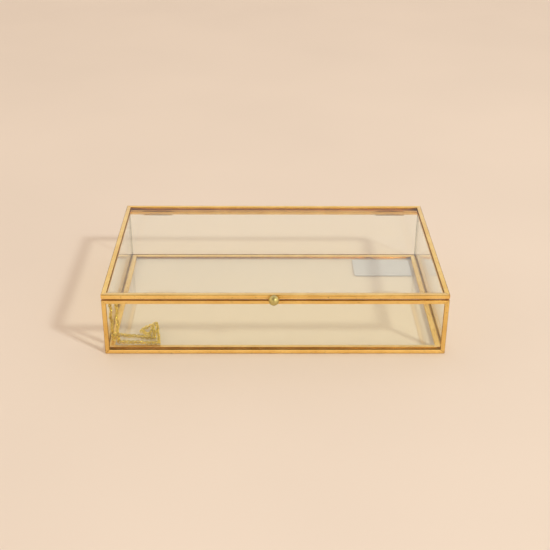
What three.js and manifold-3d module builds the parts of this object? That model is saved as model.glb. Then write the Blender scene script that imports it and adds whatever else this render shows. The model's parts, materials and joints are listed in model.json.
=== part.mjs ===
// A glass jewelry box: clear panes in a brass came frame, a hinged glass lid with a ball knob,
// and a fine stay chain that holds the open lid a little past upright.
// Millimetres, +Z up. The front faces -Y. The origin is the centre of the footprint, on the table.
import * as THREE from 'three';
import { mergeVertices } from 'three/addons/utils/BufferGeometryUtils.js';
import Module from 'manifold-3d';

const wasm = await Module();
wasm.setup();

// Overall size of the frame, without the knob and the hinge barrels.
const boxWidth = 320;
const boxDepth = 200;
const bodyHeight = 57.4;
const lidGap = 1.6;
const lidThickness = 4.4;

// Folded brass channels, called came, that hold the edges of the panes.
const wallCameThickness = 3.0;
const bottomRailFace = 4.2;
const topRailFace = 3.5;
const postFace = 4.0;
const lidRailFace = 4.4;
const floorRailFace = 4.6;
const floorCameHeight = 4.2;
const floorCameLift = 0.8;
const wallBrass = 0.35;
const plateBrass = 0.5;
const mitreGap = 0.15;
const buttGap = 0.3;

// Panes.
const wallGlass = 2.0;
const lidGlass = 3.0;
const floorGlass = 3.0;
const edgeClearance = 0.3;
const paneGap = 0.2;

// Blank paper label under the floor pane, in its back right corner.
const labelWidth = 62;
const labelDepth = 37;
const labelThickness = 0.3;
const labelFromRight = 11.4;
const labelFromBack = 12;
const seatGap = 0.05;

// Two three-knuckle hinges on the back.
const hingeLength = 31;
const hingeSpacing = 254;
const hingePlate = 0.6;
const baseLeafDrop = 6.6;
const lidLeafRise = 4.6;
const knuckleRadius = 2.0;
const knuckleBore = 0.9;
const pinRadius = 0.8;
const knuckleGap = 0.3;
const axisSetback = 2.2;

// Ball knob on a riveted stem.
const knobRadius = 4.75;
const knobStandOff = 0.25;
const knobDrop = 0.8;
const knobOffset = -1.7;
const stemRadius = 1.0;
const stemClearance = 0.2;
const stemInKnob = 3.0;

// How finely round things are divided.
const ballSteps = 16;
const roundSides = 32;
const pinSides = 16;
const chainSides = 8;
const mergeDistance = 1e-4;

// Stay chain and the two eyes that hold its ends, measured from the inner faces of the front and
// left walls.
const chainRadius = 1.5;
const chainGap = 0.3;
const strandGap = 2;
const eyeThickness = 0.8;
const eyeRadius = 1.5;
const eyeHole = 0.7;
const lidEyeFromLeft = 4.0;
const lidEyeFromFront = 2.0;
const lidEyeDrop = 2.4;
const baseEyeFromLeft = 10;
const baseEyeReach = 2.4;
const baseEyeDrop = 2.0;

// Where things end up, worked out from the sizes above.
const left = -boxWidth / 2;
const lidBottom = bodyHeight + lidGap;
const wallInner = boxWidth / 2 - wallCameThickness;
const axisY = boxDepth + axisSetback;
const axisZ = bodyHeight + lidGap / 2;
const knobY = -knobRadius - knobStandOff;
const footprintMiddle = (knobY - knobRadius + axisY + knuckleRadius) / 2;
const floorGlassTop = floorCameLift + (floorCameHeight + floorGlass) / 2;

const quarterTurn = Math.PI / 2;
const finish = (color, roughness, metalness, more = {}) =>
  new THREE.MeshStandardMaterial({ color, roughness, metalness, ...more });
const brass = finish('#d9a14e', 0.3, 0.9);
const knobBrass = finish('#a8924a', 0.3, 0.9);
const hingeBrass = finish('#b98a3f', 0.35, 0.9);
const chainGold = finish('#d0ad48', 0.25, 0.95);
const clearGlass = finish('#eef3e6', 0.03, 0, { transparent: true, opacity: 0.2 });
const labelPaper = finish('#d3d6dc', 0.75, 0);

const box = new THREE.Group();
box.position.y = -footprintMiddle;

function addMesh(name, geometry, material, position = [0, 0, 0], parent = box) {
  const mesh = new THREE.Mesh(geometry, material);
  mesh.name = name;
  mesh.position.set(...position);
  parent.add(mesh);
  return mesh;
}

// ---- Came rails ----

// Section of a channel lying along the outside, as [inward, up] corners. The slot opens inward.
function channelInward(reach, thickness, lip) {
  return [[0, 0], [reach, 0], [reach, lip], [plateBrass, lip], [plateBrass, thickness - lip],
    [reach, thickness - lip], [reach, thickness], [0, thickness]];
}

// The same channel with its slot opening up, around the edge of a standing pane.
function channelUpward(face) {
  const thickness = wallCameThickness;
  return [[0, 0], [thickness, 0], [thickness, face], [thickness - wallBrass, face],
    [thickness - wallBrass, plateBrass], [wallBrass, plateBrass], [wallBrass, face], [0, face]];
}

const channelDownward = (face) => channelUpward(face).map(([inward, up]) => [inward, face - up]);

// A rail along +X with its section in Y, inward, and Z. Each end is cut back by its slope times
// the distance inward, so a slope of 1 is a 45 degree mitre and 0 a square end.
function railGeometry(section, length, startSlope, endSlope) {
  const shape = new THREE.Shape(section.map(([inward, up]) => new THREE.Vector2(inward, up)));
  const geometry = new THREE.ExtrudeGeometry(shape, { depth: 1, bevelEnabled: false });
  const position = geometry.getAttribute('position');
  for (let i = 0; i < position.count; i += 1) {
    const inward = position.getX(i);
    const up = position.getY(i);
    const isEnd = position.getZ(i) > 0.5;
    const cut = mitreGap + inward * (isEnd ? endSlope : startSlope);
    position.setXYZ(i, isEnd ? length - cut : cut, inward, up);
  }
  return geometry;
}

function addRail(group, name, rail, turns, corner) {
  const geometry = railGeometry(rail.section, rail.length, rail.startSlope, rail.endSlope);
  const mesh = addMesh(name, geometry, brass, corner, group);
  mesh.rotation.z = turns * quarterTurn;
}

// Four mitred rails around a rectangle, in the order front, right, back, left. faces holds how
// far each one reaches inward.
function addFrame(group, names, width, depth, faces, sectionOf) {
  const corners = [[-width / 2, 0, 0], [width / 2, 0, 0], [width / 2, depth, 0], [-width / 2, depth, 0]];
  names.forEach((name, side) => {
    const before = faces[(side + 3) % 4];
    const after = faces[(side + 1) % 4];
    const rail = {
      section: sectionOf(faces[side]),
      length: side % 2 === 0 ? width : depth,
      startSlope: before / faces[side],
      endSlope: after / faces[side],
    };
    addRail(group, name, rail, side, corners[side]);
  });
}

// The front frame stands upright, so its group is turned about X.
const frontFrame = new THREE.Group();
frontFrame.rotation.x = quarterTurn;
frontFrame.position.y = wallCameThickness;
box.add(frontFrame);
addFrame(
  frontFrame,
  ['front_bottom_rail', 'front_right_post', 'front_top_rail', 'front_left_post'],
  boxWidth,
  bodyHeight,
  [bottomRailFace, postFace, topRailFace, postFace],
  (face) => channelInward(face, wallCameThickness, wallBrass),
);

// The other three walls have a rail along the bottom and the top, butted behind the front frame.
function addWallRails(level, section, z) {
  const wallStart = wallCameThickness + buttGap;
  const sideLength = boxDepth - wallStart;
  const right = { section, length: sideLength, startSlope: 0, endSlope: 1 };
  const back = { section, length: boxWidth, startSlope: 1, endSlope: 1 };
  const leftSide = { section, length: sideLength, startSlope: 1, endSlope: 0 };
  addRail(box, `right_${level}_rail`, right, 1, [boxWidth / 2, wallStart, z]);
  addRail(box, `back_${level}_rail`, back, 2, [boxWidth / 2, boxDepth, z]);
  addRail(box, `left_${level}_rail`, leftSide, 3, [left, boxDepth, z]);
}
addWallRails('bottom', channelUpward(bottomRailFace), 0);
addWallRails('top', channelDownward(topRailFace), bodyHeight - topRailFace);

// The floor pane has its own flat came inside the walls.
const floorFrame = new THREE.Group();
floorFrame.position.set(0, wallCameThickness + paneGap, floorCameLift);
box.add(floorFrame);
const floorWidth = 2 * (wallInner - paneGap);
const floorDepth = boxDepth - 2 * (wallCameThickness + paneGap);
addFrame(
  floorFrame,
  ['floor_came_front', 'floor_came_right', 'floor_came_back', 'floor_came_left'],
  floorWidth,
  floorDepth,
  Array(4).fill(floorRailFace),
  (face) => channelInward(face, floorCameHeight, wallBrass),
);

// ---- Panes ----

const slotBottom = plateBrass + edgeClearance;
const wallPaneHeight = bodyHeight - 2 * slotBottom;
const wallPaneOffset = (wallCameThickness - wallGlass) / 2;
const paneMiddleZ = bodyHeight / 2;

addMesh(
  'front_glass',
  new THREE.BoxGeometry(boxWidth - 2 * slotBottom, wallGlass, wallPaneHeight),
  clearGlass,
  [0, wallCameThickness / 2, paneMiddleZ],
);

const sidePaneStart = wallCameThickness + buttGap;
const sidePaneDepth = boxDepth - wallPaneOffset - sidePaneStart;
const sidePaneX = boxWidth / 2 - wallCameThickness / 2;
[['left_glass', -sidePaneX], ['right_glass', sidePaneX]].forEach(([name, x]) => {
  const pane = new THREE.BoxGeometry(wallGlass, sidePaneDepth, wallPaneHeight);
  addMesh(name, pane, clearGlass, [x, sidePaneStart + sidePaneDepth / 2, paneMiddleZ]);
});

const backPaneWidth = 2 * (sidePaneX - wallGlass / 2 - paneGap);
addMesh(
  'back_glass',
  new THREE.BoxGeometry(backPaneWidth, wallGlass, wallPaneHeight),
  clearGlass,
  [0, boxDepth - wallCameThickness / 2, paneMiddleZ],
);

addMesh(
  'floor_glass',
  new THREE.BoxGeometry(floorWidth - 2 * slotBottom, floorDepth - 2 * slotBottom, floorGlass),
  clearGlass,
  [0, boxDepth / 2, floorGlassTop - floorGlass / 2],
);

addMesh(
  'blank_label',
  new THREE.BoxGeometry(labelWidth, labelDepth, labelThickness),
  labelPaper,
  [
    boxWidth / 2 - labelFromRight - labelWidth / 2,
    boxDepth - labelFromBack - labelDepth / 2,
    floorGlassTop - floorGlass - seatGap - labelThickness / 2,
  ],
);

// ---- Lid ----

const lid = new THREE.Group();
lid.position.z = lidBottom;
box.add(lid);
addFrame(
  lid,
  ['lid_front_rail', 'lid_right_rail', 'lid_back_rail', 'lid_left_rail'],
  boxWidth,
  boxDepth,
  Array(4).fill(lidRailFace),
  (face) => channelInward(face, lidThickness, plateBrass),
);
addMesh(
  'lid_glass',
  new THREE.BoxGeometry(boxWidth - 2 * slotBottom, boxDepth - 2 * slotBottom, lidGlass),
  clearGlass,
  [0, boxDepth / 2, lidThickness / 2],
  lid,
);

// ---- Solids for boolean cuts and joins ----

function toSolid(geometry) {
  const bare = geometry.clone();
  bare.deleteAttribute('normal');
  bare.deleteAttribute('uv');
  const merged = mergeVertices(bare, mergeDistance);
  const vertProperties = new Float32Array(merged.getAttribute('position').array);
  const triVerts = new Uint32Array(merged.getIndex().array);
  return new wasm.Manifold(new wasm.Mesh({ numProp: 3, vertProperties, triVerts }));
}

function toGeometry(solid) {
  const { vertProperties, triVerts } = solid.getMesh();
  const geometry = new THREE.BufferGeometry();
  geometry.setAttribute('position', new THREE.BufferAttribute(vertProperties, 3));
  geometry.setIndex(new THREE.BufferAttribute(triVerts, 1));
  geometry.computeVertexNormals();
  return geometry;
}

// Turns a section drawn in Y and Z into a bar of this length along +X, starting at x = 0.
const alongX = new THREE.Matrix4().makeBasis(
  new THREE.Vector3(0, 1, 0),
  new THREE.Vector3(0, 0, 1),
  new THREE.Vector3(1, 0, 0),
);
function barAlongX(shape, length) {
  const options = { depth: length, bevelEnabled: false, curveSegments: roundSides / 2 };
  const geometry = new THREE.ExtrudeGeometry(shape, options);
  return geometry.applyMatrix4(alongX);
}

// ---- Knob ----

const stemEnd = plateBrass + edgeClearance / 2;
const knobZ = lidThickness / 2 - knobDrop;
const boreRadius = stemRadius + stemClearance;
const stemHole = new THREE.CylinderGeometry(boreRadius, boreRadius, 2 * plateBrass, roundSides);
stemHole.translate(boxWidth / 2 + knobOffset, plateBrass / 2, knobZ);

const frontRail = lid.getObjectByName('lid_front_rail');
frontRail.geometry = toGeometry(toSolid(frontRail.geometry).subtract(toSolid(stemHole)));

function ballProfile() {
  const points = [];
  const boreAngle = Math.PI - Math.asin(boreRadius / knobRadius);
  for (let i = 0; i <= ballSteps; i += 1) {
    const angle = (boreAngle * i) / ballSteps;
    points.push(new THREE.Vector2(knobRadius * Math.sin(angle), -knobRadius * Math.cos(angle)));
  }
  points[0].x = 0;
  const boreBottom = knobRadius - stemInKnob - seatGap;
  points.push(new THREE.Vector2(boreRadius, boreBottom), new THREE.Vector2(0, boreBottom));
  return points;
}
const ball = new THREE.LatheGeometry(ballProfile(), roundSides);
addMesh('knob_ball', ball, knobBrass, [knobOffset, knobY, knobZ], lid);

const stemStart = knobY + knobRadius - stemInKnob;
addMesh(
  'knob_stem',
  new THREE.CylinderGeometry(stemRadius, stemRadius, stemEnd - stemStart, pinSides),
  knobBrass,
  [knobOffset, (stemStart + stemEnd) / 2, knobZ],
  lid,
);

// ---- Hinges ----

// A leaf's section in Y and Z about the hinge axis, with its plate below the axis.
const plateNear = -axisSetback + seatGap;
const plateFar = plateNear + hingePlate;
function knuckleShape(plateLength) {
  const shape = new THREE.Shape();
  shape.moveTo(plateNear, -plateLength);
  shape.lineTo(plateFar, -plateLength);
  shape.absarc(0, 0, knuckleRadius, -Math.acos(plateFar / knuckleRadius), Math.PI, false);
  shape.lineTo(plateNear, 0);
  shape.closePath();
  const bore = new THREE.Path();
  bore.absarc(0, 0, knuckleBore, 0, 2 * Math.PI, true);
  shape.holes.push(bore);
  return shape;
}

// The plate alone, ending short of the other leaf's knuckles.
function plateShape(plateLength) {
  const reach = knuckleRadius + knuckleGap;
  const top = -Math.sqrt(reach * reach - plateFar * plateFar);
  return new THREE.Shape([
    new THREE.Vector2(plateNear, -plateLength),
    new THREE.Vector2(plateFar, -plateLength),
    new THREE.Vector2(plateFar, top),
    new THREE.Vector2(plateNear, top),
  ]);
}

// A leaf with a knuckle over each [start, end] stretch of the hinge's length.
function leafGeometry(plateLength, stretches) {
  let leaf = toSolid(barAlongX(plateShape(plateLength), hingeLength));
  stretches.forEach(([start, end]) => {
    const knuckle = barAlongX(knuckleShape(plateLength), end - start).translate(start, 0, 0);
    leaf = leaf.add(toSolid(knuckle));
  });
  return toGeometry(leaf).translate(-hingeLength / 2, 0, 0);
}

const third = hingeLength / 3;
const outerKnuckles = [[0, third - knuckleGap / 2], [2 * third + knuckleGap / 2, hingeLength]];
const middleKnuckle = [[third + knuckleGap / 2, 2 * third - knuckleGap / 2]];
const mirrorUp = new THREE.Matrix4().makeScale(1, 1, -1);

function mirrored(geometry) {
  const flipped = geometry.clone().applyMatrix4(mirrorUp);
  flipped.getIndex().array.reverse();
  return flipped;
}

[['left', -hingeSpacing / 2], ['right', hingeSpacing / 2]].forEach(([side, x]) => {
  const place = [x, axisY, axisZ];
  addMesh(`hinge_base_leaf_${side}`, leafGeometry(baseLeafDrop, outerKnuckles), hingeBrass, place);
  addMesh(`hinge_lid_leaf_${side}`, mirrored(leafGeometry(lidLeafRise, middleKnuckle)), hingeBrass, place);
  const pin = new THREE.CylinderGeometry(pinRadius, pinRadius, hingeLength, pinSides).rotateZ(quarterTurn);
  addMesh(`hinge_pin_${side}`, pin, hingeBrass, place);
});

// ---- Stay chain ----

// An eye is a soldered tab with a hole, drawn in Y and Z from its hole towards its root.
function eyeGeometry(reach, rootAngle) {
  const shape = new THREE.Shape();
  shape.moveTo(reach, -eyeRadius);
  shape.lineTo(reach, eyeRadius);
  shape.lineTo(0, eyeRadius);
  shape.absarc(0, 0, eyeRadius, quarterTurn, 3 * quarterTurn, false);
  shape.closePath();
  const hole = new THREE.Path();
  hole.absarc(0, 0, eyeHole, 0, 2 * Math.PI, true);
  shape.holes.push(hole);
  return barAlongX(shape, eyeThickness).translate(-eyeThickness / 2, 0, 0).rotateX(rootAngle);
}

const fromInside = (x, y, z) => [x - wallInner, wallCameThickness + y, z];
const lidEye = fromInside(lidEyeFromLeft, lidEyeFromFront, lidBottom - lidEyeDrop);
const baseEye = fromInside(baseEyeFromLeft, baseEyeReach, bodyHeight - baseEyeDrop);
addMesh('chain_lid_eye', eyeGeometry(lidEyeDrop - seatGap, quarterTurn), chainGold, lidEye);
addMesh('chain_base_eye', eyeGeometry(baseEyeReach - seatGap, Math.PI), chainGold, baseEye);

// The chain lies in the front left corner of the floor while the lid is shut. Points are
// [from the left wall, from the front wall, above the floor pane], where it folds.
const onFloor = chainRadius + seatGap;
const outerFoldX = 47;
const innerFoldX = outerFoldX - 2 * chainRadius - strandGap;
const baseFolds = [
  [8.5, 6, 3.4],
  [outerFoldX, 6.6, onFloor],
  [41, 44, onFloor],
  [27, 29, onFloor],
];
const lidFolds = [
  [3.4, 9, 3.6],
  [3.5, 20.5, 2.6],
  [innerFoldX, 15.8, onFloor],
  [38.4, 36.5, onFloor],
];
const meetingFold = [36, 20.3, onFloor];

const onPane = ([x, y, z]) => new THREE.Vector3(...fromInside(x, y, floorGlassTop + z));
const lidRoute = [new THREE.Vector3(...lidEye), ...lidFolds.map(onPane), onPane(meetingFold)];
const baseRoute = [new THREE.Vector3(...baseEye), ...baseFolds.map(onPane), onPane(meetingFold)];

// How far a run stops short of a fold, so that its round end clears the next run.
function foldTrim(before, fold, after) {
  const angle = before.clone().sub(fold).angleTo(after.clone().sub(fold));
  return (chainRadius + chainGap / 2) / Math.tan(angle / 2) + chainGap / 2;
}

function addRuns(prefix, route, beyond) {
  for (let i = 0; i + 1 < route.length; i += 1) {
    const [start, end] = [route[i], route[i + 1]];
    const startTrim = i === 0 ? eyeRadius + chainGap : foldTrim(route[i - 1], start, end);
    const endTrim = foldTrim(start, end, route[i + 2] ?? beyond);
    const direction = end.clone().sub(start).normalize();
    const from = start.clone().addScaledVector(direction, startTrim);
    const to = end.clone().addScaledVector(direction, -endTrim);
    const run = new THREE.CylinderGeometry(chainRadius, chainRadius, from.distanceTo(to), chainSides);
    const middle = from.clone().lerp(to, 0.5);
    const mesh = addMesh(`${prefix}_${i + 1}`, run, chainGold, middle.toArray());
    mesh.quaternion.setFromUnitVectors(new THREE.Vector3(0, 1, 0), direction);
  }
}
addRuns('stay_chain_base', baseRoute, lidRoute[lidRoute.length - 2]);
addRuns('stay_chain_lid', lidRoute, baseRoute[baseRoute.length - 2]);

export default box;
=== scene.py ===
# %% [markdown]
# # A glass jewelry box
# A low box of clear panes held in folded brass channel, which glaziers call came. Its glass lid
# swings on two small hinges, a ball knob lifts it, and a fine chain stops it just past upright.
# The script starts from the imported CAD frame, which fixes every size and place. Each cell makes
# one kind of piece or finish and says why it is made that way.

# %% Load the frame
import json
import math

import bpy
from mathutils import Matrix, Vector, geometry

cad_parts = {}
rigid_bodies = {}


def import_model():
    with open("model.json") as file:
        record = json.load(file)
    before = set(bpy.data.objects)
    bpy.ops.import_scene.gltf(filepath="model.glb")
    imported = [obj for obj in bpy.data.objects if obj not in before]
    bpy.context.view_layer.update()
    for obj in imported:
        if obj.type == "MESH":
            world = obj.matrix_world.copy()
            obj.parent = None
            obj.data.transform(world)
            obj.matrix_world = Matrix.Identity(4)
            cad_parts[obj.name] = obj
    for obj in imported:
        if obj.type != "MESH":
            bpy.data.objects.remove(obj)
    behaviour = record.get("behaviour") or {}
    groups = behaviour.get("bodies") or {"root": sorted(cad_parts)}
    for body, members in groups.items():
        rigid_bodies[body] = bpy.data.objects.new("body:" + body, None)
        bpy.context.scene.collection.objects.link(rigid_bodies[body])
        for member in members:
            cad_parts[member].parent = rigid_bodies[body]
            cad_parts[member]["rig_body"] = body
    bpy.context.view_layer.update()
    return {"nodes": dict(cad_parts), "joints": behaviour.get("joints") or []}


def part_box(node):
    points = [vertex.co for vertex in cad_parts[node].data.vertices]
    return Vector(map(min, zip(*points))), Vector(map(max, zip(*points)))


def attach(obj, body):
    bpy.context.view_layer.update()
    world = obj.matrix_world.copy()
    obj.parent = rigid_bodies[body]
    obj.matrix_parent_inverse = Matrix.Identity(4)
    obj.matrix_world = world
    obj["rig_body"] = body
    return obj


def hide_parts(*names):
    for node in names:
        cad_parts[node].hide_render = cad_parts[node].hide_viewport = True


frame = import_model()
MM = 0.001

# %% [markdown]
# ## The camera
# The box is seen from in front and above, a little to its left, through a long lens, so its
# sides lean in only slightly. The camera is built from its place and the direction it looks:
# three unit vectors make the columns of its matrix.

# %% Camera
CAMERA_PLACE = Vector((-0.0093, -0.8923, 0.5074))
CAMERA_DOWN = math.radians(28.03)
CAMERA_YAW = math.radians(0.62)
CAMERA_ROLL = math.radians(0.32)
LENS_MM = 65.2

camera_data = bpy.data.cameras.new("camera")
camera_data.lens = LENS_MM
camera_data.sensor_width = 36
camera_data.clip_start = 0.01
camera = bpy.data.objects.new("camera", camera_data)
bpy.context.scene.collection.objects.link(camera)

ahead = Vector((
    math.sin(CAMERA_YAW) * math.cos(CAMERA_DOWN),
    math.cos(CAMERA_YAW) * math.cos(CAMERA_DOWN),
    -math.sin(CAMERA_DOWN),
))
level = Vector((math.cos(CAMERA_YAW), -math.sin(CAMERA_YAW), 0))
upward = level.cross(ahead)
right = level * math.cos(CAMERA_ROLL) + upward * math.sin(CAMERA_ROLL)
upright = upward * math.cos(CAMERA_ROLL) - level * math.sin(CAMERA_ROLL)
turned = Matrix((right, upright, -ahead)).transposed().to_4x4()
camera.matrix_world = Matrix.Translation(CAMERA_PLACE) @ turned
bpy.context.scene.camera = camera

# %% [markdown]
# ## Small helpers
# Operators act on everything that is selected, so each step first selects one object and
# nothing else. A node helper keeps the materials short: it makes a shader node, and each input
# is either a plain value or another node's output.


# %% Helpers
def only(piece):
    """Selects one object, makes it active and nothing else."""
    bpy.ops.object.select_all(action="DESELECT")
    piece.select_set(True)
    bpy.context.view_layer.objects.active = piece


def edit(piece):
    """Opens one object in edit mode with all of it selected."""
    only(piece)
    bpy.ops.object.mode_set(mode="EDIT")
    bpy.ops.mesh.select_all(action="SELECT")


def done():
    """Closes edit mode."""
    bpy.ops.object.mode_set(mode="OBJECT")


def add_node(tree, kind, inputs=None, **settings):
    """A shader node with its settings and inputs. An input is a value or another node's output."""
    made = tree.nodes.new(kind)
    for setting, value in settings.items():
        setattr(made, setting, value)
    for socket, value in (inputs or {}).items():
        if isinstance(value, bpy.types.NodeSocket):
            tree.links.new(value, made.inputs[socket])
        else:
            made.inputs[socket].default_value = value
    return made


def new_material(name):
    """An empty node material and its output node."""
    material = bpy.data.materials.new(name)
    material.use_nodes = True
    tree = material.node_tree
    tree.nodes.clear()
    output = tree.nodes.new("ShaderNodeOutputMaterial")
    return material, tree, output


def object_noise(tree, scale, stretch=(1, 1, 1), detail=3):
    """Noise fixed to the piece, in metres, squeezed or stretched along the axes."""
    place = add_node(tree, "ShaderNodeTexCoord").outputs["Object"]
    mapped = add_node(tree, "ShaderNodeMapping", {"Vector": place, "Scale": stretch})
    noise = {"Vector": mapped.outputs[0], "Scale": scale, "Detail": detail}
    return add_node(tree, "ShaderNodeTexNoise", noise).outputs["Fac"]


def spread(tree, value, low, high, start=0.35, end=0.65):
    """A noise value spread out between two numbers."""
    inputs = {"Value": value, "From Min": start, "From Max": end, "To Min": low, "To Max": high}
    return add_node(tree, "ShaderNodeMapRange", inputs).outputs[0]


def mixed(tree, share, first, second):
    """Two colours mixed by a share."""
    mix = add_node(tree, "ShaderNodeMix", data_type="RGBA")
    for socket, value in ((0, share), (6, first), (7, second)):
        if isinstance(value, bpy.types.NodeSocket):
            tree.links.new(value, mix.inputs[socket])
        else:
            mix.inputs[socket].default_value = (*value, 1) if socket else value
    return mix.outputs[2]


# %% [markdown]
# ## Brass
# Came is rolled from thin sheet, so its surface has fine draw lines along its length, faint
# clouds of duller metal and small dark specks. Draw lines are noise squeezed hard across the
# rail and stretched along it. They need to know which way the rail runs, so there is one
# material for each axis, and the upright posts get their brass 8% darker as painted shade.
# All are fully metallic, because lacquered brass has no white diffuse colour. The darker
# brasses for folds and channel insides are painted dark reflection and painted shade.


# %% Brass materials
ALONG, ACROSS = 0.04, 1.0
DRAW_LINES = {
    "x": (ALONG, ACROSS, ACROSS),
    "y": (ACROSS, ALONG, ACROSS),
    "z": (ACROSS, ACROSS, ALONG),
    "even": (ACROSS, ACROSS, ACROSS),
}
CLOUDS, SPECKS, FINE_LINES = 55, 900, 2600


def make_metal(name, light, dark, roughness, lines, cloud_scale=CLOUDS):
    """Drawn or polished yellow metal: clouded colour, lined roughness and a fine bump."""
    material, tree, output = new_material(name)
    clouds = spread(tree, object_noise(tree, cloud_scale), 0, 1)
    specks = spread(tree, object_noise(tree, SPECKS, detail=1), 1, 0, 0.24, 0.30)
    fine = object_noise(tree, FINE_LINES, DRAW_LINES[lines], detail=2)
    cloudy = mixed(tree, clouds, light, dark)
    spoiled = tuple(0.45 * channel for channel in dark)
    colour = mixed(tree, specks, cloudy, spoiled)
    bump = add_node(tree, "ShaderNodeBump", {"Height": fine, "Strength": 0.03, "Distance": 0.0001})
    shader = add_node(
        tree,
        "ShaderNodeBsdfPrincipled",
        {
            "Base Color": colour,
            "Roughness": spread(tree, fine, roughness * 0.85, roughness * 1.25),
            "Metallic": 1.0,
            "Normal": bump.outputs[0],
        },
    )
    tree.links.new(shader.outputs[0], output.inputs[0])
    return material


BRASS_LIGHT = (1.00, 0.70, 0.245)
BRASS_DARK = (0.92, 0.60, 0.185)
BRASS_ROUGHNESS = 0.30
brass = {}
# The upright posts take brass 8% darker: painted shade on their upright faces.
for axis, shade in (("x", 1.0), ("y", 1.0), ("z", 0.92)):
    light = tuple(shade * channel for channel in BRASS_LIGHT)
    dark = tuple(shade * channel for channel in BRASS_DARK)
    brass[axis] = make_metal(f"came_brass_{axis}", light, dark, BRASS_ROUGHNESS, axis)
# Painted dark reflection for the rounded folds.
brass_fold_painted_dark = make_metal("came_brass_fold_painted_dark", (0.52, 0.31, 0.08), (0.32, 0.17, 0.03), 0.24, "even")
# Painted shade for channel insides, the face under the lid and the floor's front outer fold.
brass_painted_shade = make_metal("came_brass_painted_shade", (0.48, 0.21, 0.03), (0.36, 0.14, 0.01), 0.45, "even")
# A lighter painted shade for the inside of the lid's back rail.
brass_light_painted_shade = make_metal("came_brass_light_painted_shade", (0.92, 0.55, 0.13), (0.78, 0.44, 0.08), 0.40, "even")
hinge_brass = make_metal("hinge_brass", (0.80, 0.55, 0.22), (0.68, 0.44, 0.16), 0.34, "x")
knob_brass = make_metal("knob_brass", (0.62, 0.53, 0.22), (0.50, 0.41, 0.14), 0.45, "even")
# The chain's light and dark mix in clouds about a link long: painted glints and painted dark sparkle.
chain_gold = make_metal("chain_gold", (1.00, 0.86, 0.28), (0.68, 0.48, 0.05), 0.12, "even", 420)
print("metals:", len(bpy.data.materials))

# %% [markdown]
# ## Glass
# A pane is seen through, and a little of the room shines back from each of its faces, more at
# a slant. In the thin walls and the lid a Transparent shader carries the faint tint and a
# Glossy shader the shine, mixed by how far the face turns away. The floor pane lies right on
# its label and brass, and a pane lifts what is under it a little, so there a Glass shader
# bends the view. Light from the lamp and the room has to get through without the dark shadow
# that bending glass throws, so shadow and diffuse rays always meet the plain clear side. The
# ground edges are a duller grey-green, because they are seen through the pane's whole width.

# %% Glass materials
PANE_TINT = (0.994, 0.996, 0.966, 1)
LAMP_TINT = (0.993, 0.987, 0.955, 1)
SHINE_HEAD_ON = 0.035
SHINE_GRAZING = 0.80
SCHLICK_POWER = 5.0
GLASS_IOR = 1.5


def light_through(tree, seen):
    """Lets shadow and diffuse rays straight through, and shows every other ray what is seen."""
    rays = add_node(tree, "ShaderNodeLightPath")
    clear = add_node(tree, "ShaderNodeBsdfTransparent", {"Color": LAMP_TINT}).outputs[0]
    for kind in ("Is Diffuse Ray", "Is Shadow Ray"):
        passed = {0: rays.outputs[kind], 1: seen, 2: clear}
        seen = add_node(tree, "ShaderNodeMixShader", passed).outputs[0]
    return seen


def make_pane_glass(name, bends):
    """Clear float glass with a faint tint and faint smears in its shine."""
    material, tree, output = new_material(name)
    if bends:
        glass = {"Color": PANE_TINT, "Roughness": 0.0, "IOR": GLASS_IOR}
        seen = add_node(tree, "ShaderNodeBsdfGlass", glass)
    else:
        facing = add_node(tree, "ShaderNodeLayerWeight", {"Blend": 0.5}).outputs["Facing"]
        steep = add_node(tree, "ShaderNodeMath", {0: facing, 1: SCHLICK_POWER}, operation="POWER")
        slant = {0: steep.outputs[0], 1: SHINE_GRAZING, 2: SHINE_HEAD_ON}
        shine = add_node(tree, "ShaderNodeMath", slant, operation="MULTIPLY_ADD")
        through = add_node(tree, "ShaderNodeBsdfTransparent", {"Color": PANE_TINT})
        smears = spread(tree, object_noise(tree, 14, (1, 2.5, 1)), 0.0, 0.05, 0.45, 0.75)
        mirror = add_node(tree, "ShaderNodeBsdfGlossy", {"Color": (1, 1, 1, 1), "Roughness": smears})
        sides = {0: shine.outputs[0], 1: through.outputs[0], 2: mirror.outputs[0]}
        seen = add_node(tree, "ShaderNodeMixShader", sides)
    tree.links.new(light_through(tree, seen.outputs[0]), output.inputs[0])
    return material


def make_edge_glass(name):
    """The ground edge of a pane, half clear and half frosted grey-green."""
    material, tree, output = new_material(name)
    frost = spread(tree, object_noise(tree, 700, detail=2), 0.0, 1.0)
    colour = mixed(tree, frost, (0.34, 0.30, 0.22), (0.52, 0.47, 0.36))
    through = add_node(tree, "ShaderNodeBsdfTransparent", {"Color": (0.80, 0.80, 0.70, 1)})
    ground = add_node(tree, "ShaderNodeBsdfPrincipled", {"Base Color": colour, "Roughness": 0.45})
    edge = add_node(tree, "ShaderNodeMixShader", {0: 0.55, 1: through.outputs[0], 2: ground.outputs[0]})
    tree.links.new(edge.outputs[0], output.inputs[0])
    return material


pane_glass = make_pane_glass("pane_glass", bends=False)
floor_pane_glass = make_pane_glass("floor_pane_glass", bends=True)
edge_glass = make_edge_glass("edge_glass")

# %% [markdown]
# ## Label paper
# A blank sticker under the floor pane. Paper is never one flat colour: fibres show as fine
# clouds, and the surface has a slight tooth.


# %% Label material
def make_paper(name):
    material, tree, output = new_material(name)
    fibres = object_noise(tree, 1500, (1, 2.2, 1), detail=6)
    colour = mixed(tree, spread(tree, fibres, 0, 1), (0.62, 0.60, 0.65), (0.70, 0.67, 0.71))
    bump = add_node(tree, "ShaderNodeBump", {"Height": fibres, "Strength": 0.2, "Distance": 0.0001})
    paper = {"Base Color": colour, "Roughness": 0.8, "Normal": bump.outputs[0]}
    shader = add_node(tree, "ShaderNodeBsdfPrincipled", paper)
    tree.links.new(shader.outputs[0], output.inputs[0])
    return material


label_paper = make_paper("label_paper")

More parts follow.
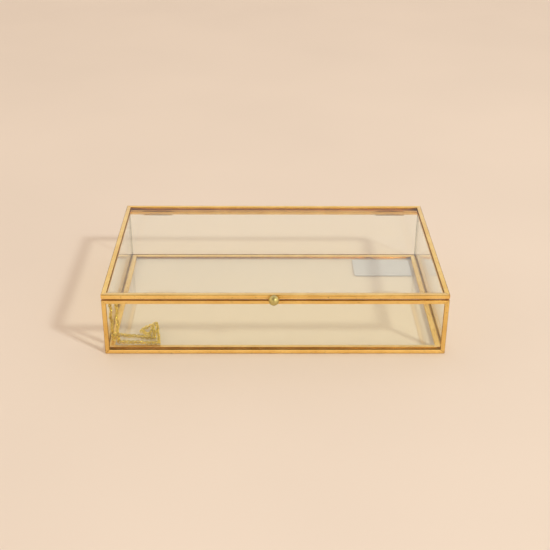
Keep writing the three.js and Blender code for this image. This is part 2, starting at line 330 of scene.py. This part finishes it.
# %% [markdown]
# ## Copies of the frame's parts
# Rails, panes, hinge leaves and pins already have the right shape, but every CAD edge is
# perfectly sharp, and a sharp edge catches no light. Each part is copied, its loose triangles
# are merged back into flat faces, and its edges are rounded. The shading runs on smoothly over
# the rounding, so a narrow brass face looks slightly crowned, as rolled sheet is.


# %% Copy and round
MERGE_WITHIN = 0.002 * MM
FLAT_WITHIN = math.radians(0.5)
SHARP_FROM = math.radians(35)
SMOOTH_UP_TO = math.radians(40)


def copy_of(node):
    """A copy of a CAD node's mesh as a piece of its own, merged into clean flat faces."""
    mesh = frame["nodes"][node].data.copy()
    mesh.name = node + "_finished"
    mesh.materials.clear()
    piece = bpy.data.objects.new(mesh.name, mesh)
    bpy.context.scene.collection.objects.link(piece)
    edit(piece)
    bpy.ops.mesh.customdata_custom_splitnormals_clear()
    bpy.ops.mesh.remove_doubles(threshold=MERGE_WITHIN)
    bpy.ops.mesh.dissolve_limited(angle_limit=FLAT_WITHIN)
    done()
    return piece


def round_edges(piece, width, segments=2):
    """Rounds the sharp edges with a bevel, and smooths the shading over it."""
    only(piece)
    rounding = piece.modifiers.new("rounding", "BEVEL")
    rounding.width = width
    rounding.segments = segments
    rounding.limit_method = "ANGLE"
    rounding.angle_limit = SHARP_FROM
    bpy.ops.object.modifier_apply(modifier=rounding.name)
    bpy.ops.object.shade_smooth_by_angle(angle=SMOOTH_UP_TO)


def stand_for(piece, node):
    """The piece rides on its node's body, and the node is hidden in its place."""
    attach(piece, frame["nodes"][node]["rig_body"])
    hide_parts(node)


def set_materials(piece, *materials):
    for material in materials:
        piece.data.materials.append(material)


# %% [markdown]
# ## The brass frame
# Eighteen rails and posts of the same drawn came. Each rail runs along its longest side, and
# that picks the direction of its draw lines. Inside a channel, and on the face that the lid
# shuts on in front, the brass is painted dark brown: painted shade of the slot and of the shut
# lid. A face is inside the channel when it looks along an axis but doesn't lie on the rail's own box.
#
# Sheet can't be folded to a sharp edge, so the two folds of each channel are rounded first, by
# a bevel of their own: they are the long edges where two wide outer faces meet. A fold is
# painted darker brown than the faces, as a painted dark reflection. The floor's front came stands
# against the wall, so its outer fold is the roundest, and it takes the channels' painted shade
# for the gap at the wall. The lid's lower folds, above the seam, keep the face brass unpainted.

# %% Rails and posts
RAIL_NODES = sorted(
    node
    for node in frame["nodes"]
    if node.endswith(("_rail", "_post")) or node.startswith("floor_came")
)
TIP_ROUNDING = 0.12 * MM
LID_FOLD, WALL_FOLD, FLOOR_FRONT_FOLD = 0.60 * MM, 0.30 * MM, 0.78 * MM
FOLD_STEPS = 3
WIDE_FACE = 1.0 * MM
ON_THE_BOX = 0.2 * MM
ALONG_AN_AXIS = 0.99
FACE_FINISH, FOLD_PAINTED_DARK, INSIDE_PAINTED_SHADE = 0, 1, 2


def depth_inside(face, low, high):
    """How deep a face lies inside the rail's box, looking along the axis that the face looks."""
    axis = max(range(3), key=lambda i: abs(face.normal[i]))
    if abs(face.normal[axis]) < ALONG_AN_AXIS:
        return -1
    if face.normal[axis] > 0:
        return high[axis] - face.center[axis]
    return face.center[axis] - low[axis]


def widest_reach(points, face, start, end):
    """How far a face reaches from the line through one of its edges."""
    places = [points[i].co for i in face.vertices]
    return max((at - geometry.intersect_point_line(at, start, end)[0]).length for at in places)


def round_folds(rail, node, radius):
    """Rounds the lengthwise edges where two wide outer faces of the channel meet."""
    edit(rail)
    bpy.ops.mesh.select_all(action="DESELECT")
    bpy.ops.mesh.select_mode(type="EDGE")
    done()
    low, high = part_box(node)
    lengthwise = max(range(3), key=lambda axis: high[axis] - low[axis])
    points = rail.data.vertices
    outer_faces = {}
    for face in rail.data.polygons:
        if abs(depth_inside(face, low, high)) < ON_THE_BOX:
            for key in face.edge_keys:
                outer_faces.setdefault(key, []).append(face)
    folds = 0
    for edge in rail.data.edges:
        start, end = (points[i].co for i in edge.vertices)
        faces = outer_faces.get(edge.key, [])
        if len(faces) == 2 and abs((end - start).normalized()[lengthwise]) > 0.999:
            edge.select = min(widest_reach(points, face, start, end) for face in faces) > WIDE_FACE
            folds += edge.select
    bpy.ops.object.mode_set(mode="EDIT")
    bpy.ops.mesh.bevel(offset=radius, segments=FOLD_STEPS, material=FOLD_PAINTED_DARK)
    done()
    return folds


def paint_shade_inside(rail, node):
    """Paints shade: the dark brown brass goes on faces inside the channel and on the face the lid shuts
    on.
    """
    low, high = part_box(node)
    for face in rail.data.polygons:
        inside = depth_inside(face, low, high) > ON_THE_BOX
        # The face the lid shuts on lies in the lid's shade, so its brown is painted shade.
        shaded_by_lid = face.normal.z > ALONG_AN_AXIS and node == "front_top_rail"
        if inside or shaded_by_lid:
            face.material_index = INSIDE_PAINTED_SHADE


def unpaint_lower_folds(rail):
    """Gives the folds that look down the face brass, without the painted dark reflection."""
    for face in rail.data.polygons:
        if face.material_index == FOLD_PAINTED_DARK and face.normal.z < 0:
            face.material_index = FACE_FINISH


fold_count = 0
for node in RAIL_NODES:
    low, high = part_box(node)
    size = high - low
    run = "xyz"[max(range(3), key=lambda axis: size[axis])]
    rail = copy_of(node)
    on_floor = node.startswith("floor_came")
    # Slot 1: painted dark reflection on folds, and on the floor's front came painted shade for the gap
    # at the wall. Slot 2: painted shade inside the channels, lighter on the lid's back rail.
    set_materials(
        rail,
        brass[run],
        brass_painted_shade if node == "floor_came_front" else brass_fold_painted_dark,
        brass_light_painted_shade if node == "lid_back_rail" else brass_painted_shade,
    )
    if not on_floor:
        paint_shade_inside(rail, node)
    radius = LID_FOLD if node.startswith("lid") else WALL_FOLD
    if node == "floor_came_front":
        radius = FLOOR_FRONT_FOLD
    fold_count += round_folds(rail, node, radius)
    if node.startswith("lid"):
        unpaint_lower_folds(rail)
    round_edges(rail, TIP_ROUNDING)
    stand_for(rail, node)
print("rails and posts:", len(RAIL_NODES), "rounded fold edges:", fold_count)

# %% [markdown]
# ## The panes
# Float glass cut to size with its edges ground. Most edges are hidden in the came and stay
# clear. The upright edges of the walls show at the back corners, where there are no posts, and
# those faces take the ground-edge material.

# %% Panes
PANE_NODES = ("front_glass", "back_glass", "left_glass", "right_glass", "floor_glass", "lid_glass")
ARRIS = 0.2 * MM

for node in PANE_NODES:
    low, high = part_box(node)
    size = high - low
    thin = min(range(3), key=lambda axis: size[axis])
    pane = copy_of(node)
    set_materials(pane, floor_pane_glass if node == "floor_glass" else pane_glass, edge_glass)
    round_edges(pane, ARRIS, segments=1)
    for face in pane.data.polygons:
        upright = thin != 2 and abs(face.normal.z) < 0.5
        face.material_index = 1 if upright and abs(face.normal[thin]) < 0.9 else 0
    stand_for(pane, node)
print("panes:", len(PANE_NODES))

# %% [markdown]
# ## The label
# A plain rectangle with softly rounded corners: the four upright edges are rounded first, by
# 2 mm, and then the thin rim.

# %% Label
LABEL_CORNER = 2 * MM
LABEL_RIM = 0.04 * MM
label = copy_of("blank_label")
set_materials(label, label_paper)
edit(label)
bpy.ops.mesh.select_all(action="DESELECT")
bpy.ops.mesh.select_mode(type="EDGE")
done()
for edge in label.data.edges:
    ends = [label.data.vertices[i].co for i in edge.vertices]
    flat = Vector((ends[0].x - ends[1].x, ends[0].y - ends[1].y))
    edge.select = flat.length < 1e-6
bpy.ops.object.mode_set(mode="EDIT")
bpy.ops.mesh.bevel(offset=LABEL_CORNER, segments=6)
done()
round_edges(label, LABEL_RIM, segments=1)
stand_for(label, "blank_label")

# %% [markdown]
# ## Hinges, pins and chain eyes
# The same copy and rounding, in plain hinge brass. The pins' ends are peened into low domes,
# which a wider rounding gives.

# %% Hinges and eyes
HINGE_ROUNDING = 0.12 * MM
PIN_DOME = 0.35 * MM
for side in ("left", "right"):
    for node in (f"hinge_base_leaf_{side}", f"hinge_lid_leaf_{side}"):
        leaf = copy_of(node)
        set_materials(leaf, hinge_brass)
        round_edges(leaf, HINGE_ROUNDING)
        stand_for(leaf, node)
    pin = copy_of(f"hinge_pin_{side}")
    set_materials(pin, hinge_brass)
    round_edges(pin, PIN_DOME, segments=3)
    stand_for(pin, f"hinge_pin_{side}")

for node in ("chain_base_eye", "chain_lid_eye"):
    eye = copy_of(node)
    set_materials(eye, chain_gold)
    round_edges(eye, HINGE_ROUNDING)
    stand_for(eye, node)

# %% [markdown]
# ## The knob
# A turned ball with a small flat seat towards the rail and a bore for its stem. It starts as a
# fine sphere, a bisect cuts the seat, and the seat is inset and pushed in for the bore.

# %% Knob
SEAT_DEPTH = 0.35 * MM
BORE_DEPTH = 2.6 * MM
BORE_SHARE = 0.35
INSIDE_THE_CAD_BALL = 0.999

ball_low, ball_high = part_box("knob_ball")
ball_centre = (ball_low + ball_high) / 2
ball_radius = (ball_high.x - ball_low.x) / 2
ball_centre.y = ball_low.y + ball_radius
seat_y = ball_centre.y + ball_radius - SEAT_DEPTH

bpy.ops.object.select_all(action="DESELECT")
bpy.ops.mesh.primitive_uv_sphere_add(
    segments=64,
    ring_count=32,
    radius=ball_radius * INSIDE_THE_CAD_BALL,
    location=ball_centre,
    rotation=(math.pi / 2, 0, 0),
)
knob = bpy.context.object
knob.name = "knob_ball_finished"
bpy.ops.object.transform_apply(location=True, rotation=True, scale=True)
edit(knob)
bpy.ops.mesh.bisect(plane_co=(0, seat_y, 0), plane_no=(0, 1, 0), clear_outer=True, use_fill=True)
done()
for face in knob.data.polygons:
    face.select = face.normal.y > 0.999 and face.center.y > seat_y - 1e-6
bpy.ops.object.mode_set(mode="EDIT")
seat_radius = math.sqrt(ball_radius**2 - (ball_radius - SEAT_DEPTH) ** 2)
bpy.ops.mesh.inset(thickness=seat_radius * (1 - BORE_SHARE))
bpy.ops.mesh.extrude_region_move(TRANSFORM_OT_translate={"value": (0, -BORE_DEPTH, 0)})
bpy.ops.mesh.select_all(action="SELECT")
bpy.ops.mesh.normals_make_consistent(inside=False)
done()
set_materials(knob, knob_brass)
only(knob)
bpy.ops.object.shade_smooth_by_angle(angle=math.radians(30))
stand_for(knob, "knob_ball")

stem = copy_of("knob_stem")
set_materials(stem, knob_brass)
round_edges(stem, HINGE_ROUNDING)
stand_for(stem, "knob_stem")

# %% [markdown]
# ## The stay chain
# A fine cable chain: oval wire links, each turned a quarter from the last. While the lid
# is shut most of it lies in a small heap. Every run between two folds is one piece on its own
# body, so the heap can unfold into a straight line as the lid opens. One link is modelled,
# from a torus pulled apart along its length, and copied along each run.

# %% One link
WIRE_RADIUS = 0.50 * MM
LINK_RADIUS = 1.45 * MM
LINK_STRETCH = 0.25 * MM
LINK_PITCH = 2.2 * MM
LINK_STEPS, WIRE_STEPS = 14, 6

bpy.ops.object.select_all(action="DESELECT")
bpy.ops.mesh.primitive_torus_add(
    major_radius=LINK_RADIUS,
    minor_radius=WIRE_RADIUS,
    major_segments=LINK_STEPS,
    minor_segments=WIRE_STEPS,
)
link = bpy.context.object
link.name = "chain_link_pattern"
for side in (-1, 1):
    for vertex in link.data.vertices:
        vertex.select = vertex.co.x * side > 1e-6
    for part in (*link.data.edges, *link.data.polygons):
        part.select = False
    bpy.ops.object.mode_set(mode="EDIT")
    bpy.ops.transform.translate(value=(side * LINK_STRETCH, 0, 0))
    done()
only(link)
bpy.ops.object.shade_smooth()
set_materials(link, chain_gold)


# %% Runs of links
def joint_point(name):
    """Where a joint's pin is, from the frame."""
    return next(Vector(j["pos_m"]) for j in frame["joints"] if j["name"] == name)


def middle_of(node):
    low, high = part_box(node)
    return (low + high) / 2


RUNS = 5
FIRST_TURN = math.radians(45)
LINK_WANDER = math.radians(8)
SWAY = 0.6 * MM
LINKS_PER_SWAY = 7
routes = {}
for half in ("stay_chain_base", "stay_chain_lid"):
    routes[half] = [joint_point(f"{half}_{i}_fold") for i in range(1, RUNS + 1)]
last_base, last_lid = (middle_of(f"{half}_{RUNS}") for half in routes)
ends = geometry.intersect_line_line(
    routes["stay_chain_base"][-1], last_base, routes["stay_chain_lid"][-1], last_lid
)
for half in routes:
    routes[half].append((ends[0] + ends[1]) / 2)


def run_of_links(name, start, end):
    """Links along a straight run, each turned a quarter from the last, joined into one piece."""
    along = end - start
    count = max(1, round(along.length / LINK_PITCH))
    aim = along.to_track_quat("X", "Z").to_matrix().to_4x4()
    sideways = aim.col[1].to_3d()
    copies = []
    for i in range(count):
        wander = LINK_WANDER * math.sin(2.4 * i)
        turn = Matrix.Rotation(FIRST_TURN + i * math.pi / 2 + wander, 4, "X")
        ease = math.sin(math.pi * (i + 0.5) / count)
        sway = sideways * (SWAY * ease * math.sin(2 * math.pi * i / LINKS_PER_SWAY))
        mesh = link.data.copy()
        mesh.transform(Matrix.Translation(start + along * ((i + 0.5) / count) + sway) @ aim @ turn)
        copy = bpy.data.objects.new(f"{name}_{i}", mesh)
        bpy.context.scene.collection.objects.link(copy)
        copies.append(copy)
    only(copies[0])
    for copy in copies:
        copy.select_set(True)
    bpy.ops.object.join()
    run = bpy.context.object
    run.name = name
    return run, count


link_count = 0
for half, route in routes.items():
    for i in range(RUNS):
        node = f"{half}_{i + 1}"
        run, count = run_of_links(node + "_links", route[i], route[i + 1])
        stand_for(run, node)
        link_count += count
bpy.data.objects.remove(link)
print("chain links:", link_count)

# %% [markdown]
# ## The floor
# A plain pale sheet of warm paper, much larger than the view.

# %% Floor
FLOOR_SIZE = 12
FLOOR_COLOUR = (0.87, 0.74, 0.62)

bpy.ops.object.select_all(action="DESELECT")
bpy.ops.mesh.primitive_plane_add(size=FLOOR_SIZE, location=(0, 0, 0))
floor = bpy.context.object
floor.name = "floor"
floor_material, floor_tree, floor_output = new_material("floor_paper")
floor_tooth = object_noise(floor_tree, 3, detail=2)
floor_shade = tuple(0.97 * channel for channel in FLOOR_COLOUR)
floor_colour = mixed(floor_tree, spread(floor_tree, floor_tooth, 0, 1), FLOOR_COLOUR, floor_shade)
floor_sheet = {"Base Color": floor_colour, "Roughness": 0.9, "Specular IOR Level": 0.15}
floor_shader = add_node(floor_tree, "ShaderNodeBsdfPrincipled", floor_sheet)
floor_tree.links.new(floor_shader.outputs[0], floor_output.inputs[0])
set_materials(floor, floor_material)

# %% [markdown]
# ## Light
# Even, warm light from all round, as in a small studio with pale walls, and one softbox high on
# the right in front. The even light keeps shadows pale, and the softbox draws the soft outline
# of the brass on the table to the left. Polished metal shows only what it mirrors. So the room
# isn't the same all round: above the camera it is dark, which makes folds and curves read, and
# the wall behind the box is a plain pale grey, which the upward faces mirror.

# %% World and lamps
ROOM_COLOUR = (1.46, 1.25, 1.02)
DARK_COLOUR = (0.16, 0.13, 0.10)
WALL_COLOUR = (0.86, 0.84, 0.90)
DARK_TOWARDS = Vector((0.0, -0.47, 0.88)).normalized()
WALL_TOWARDS = Vector((0.0, 0.90, 0.43)).normalized()
PATCH_EDGE, PATCH_CORE = math.radians(56), math.radians(28)
SOFTBOX_TOWARDS = Vector((0.575, -0.505, 0.645)).normalized()
SOFTBOX_DISTANCE = 4.0
SOFTBOX_SIZE = 0.40
SOFTBOX_POWER = 58
SOFTBOX_COLOUR = (0.88, 0.97, 1.0)

world = bpy.data.worlds.new("room")
world.use_nodes = True
room_tree = world.node_tree
looking = add_node(room_tree, "ShaderNodeTexCoord").outputs["Generated"]


def room_patch(towards, around, patch):
    """One side of the room in its own colour, fading softly into the rest."""
    aim = {0: looking, 1: towards}
    near = add_node(room_tree, "ShaderNodeVectorMath", aim, operation="DOT_PRODUCT").outputs["Value"]
    share = spread(room_tree, near, 0, 1, math.cos(PATCH_EDGE), math.cos(PATCH_CORE))
    return mixed(room_tree, share, around, patch)


room = room_tree.nodes["Background"]
room_colour = room_patch(DARK_TOWARDS, ROOM_COLOUR, DARK_COLOUR)
room_colour = room_patch(WALL_TOWARDS, room_colour, WALL_COLOUR)
room_tree.links.new(room_colour, room.inputs["Color"])
bpy.context.scene.world = world

lamp_data = bpy.data.lights.new("softbox", "AREA")
lamp_data.shape = "SQUARE"
lamp_data.size = SOFTBOX_SIZE
lamp_data.energy = SOFTBOX_POWER
lamp_data.color = SOFTBOX_COLOUR
lamp = bpy.data.objects.new("softbox", lamp_data)
lamp.location = SOFTBOX_TOWARDS * SOFTBOX_DISTANCE
lamp.rotation_euler = SOFTBOX_TOWARDS.to_track_quat("Z", "Y").to_euler()
bpy.context.scene.collection.objects.link(lamp)
bpy.context.scene.view_settings.view_transform = "Standard"
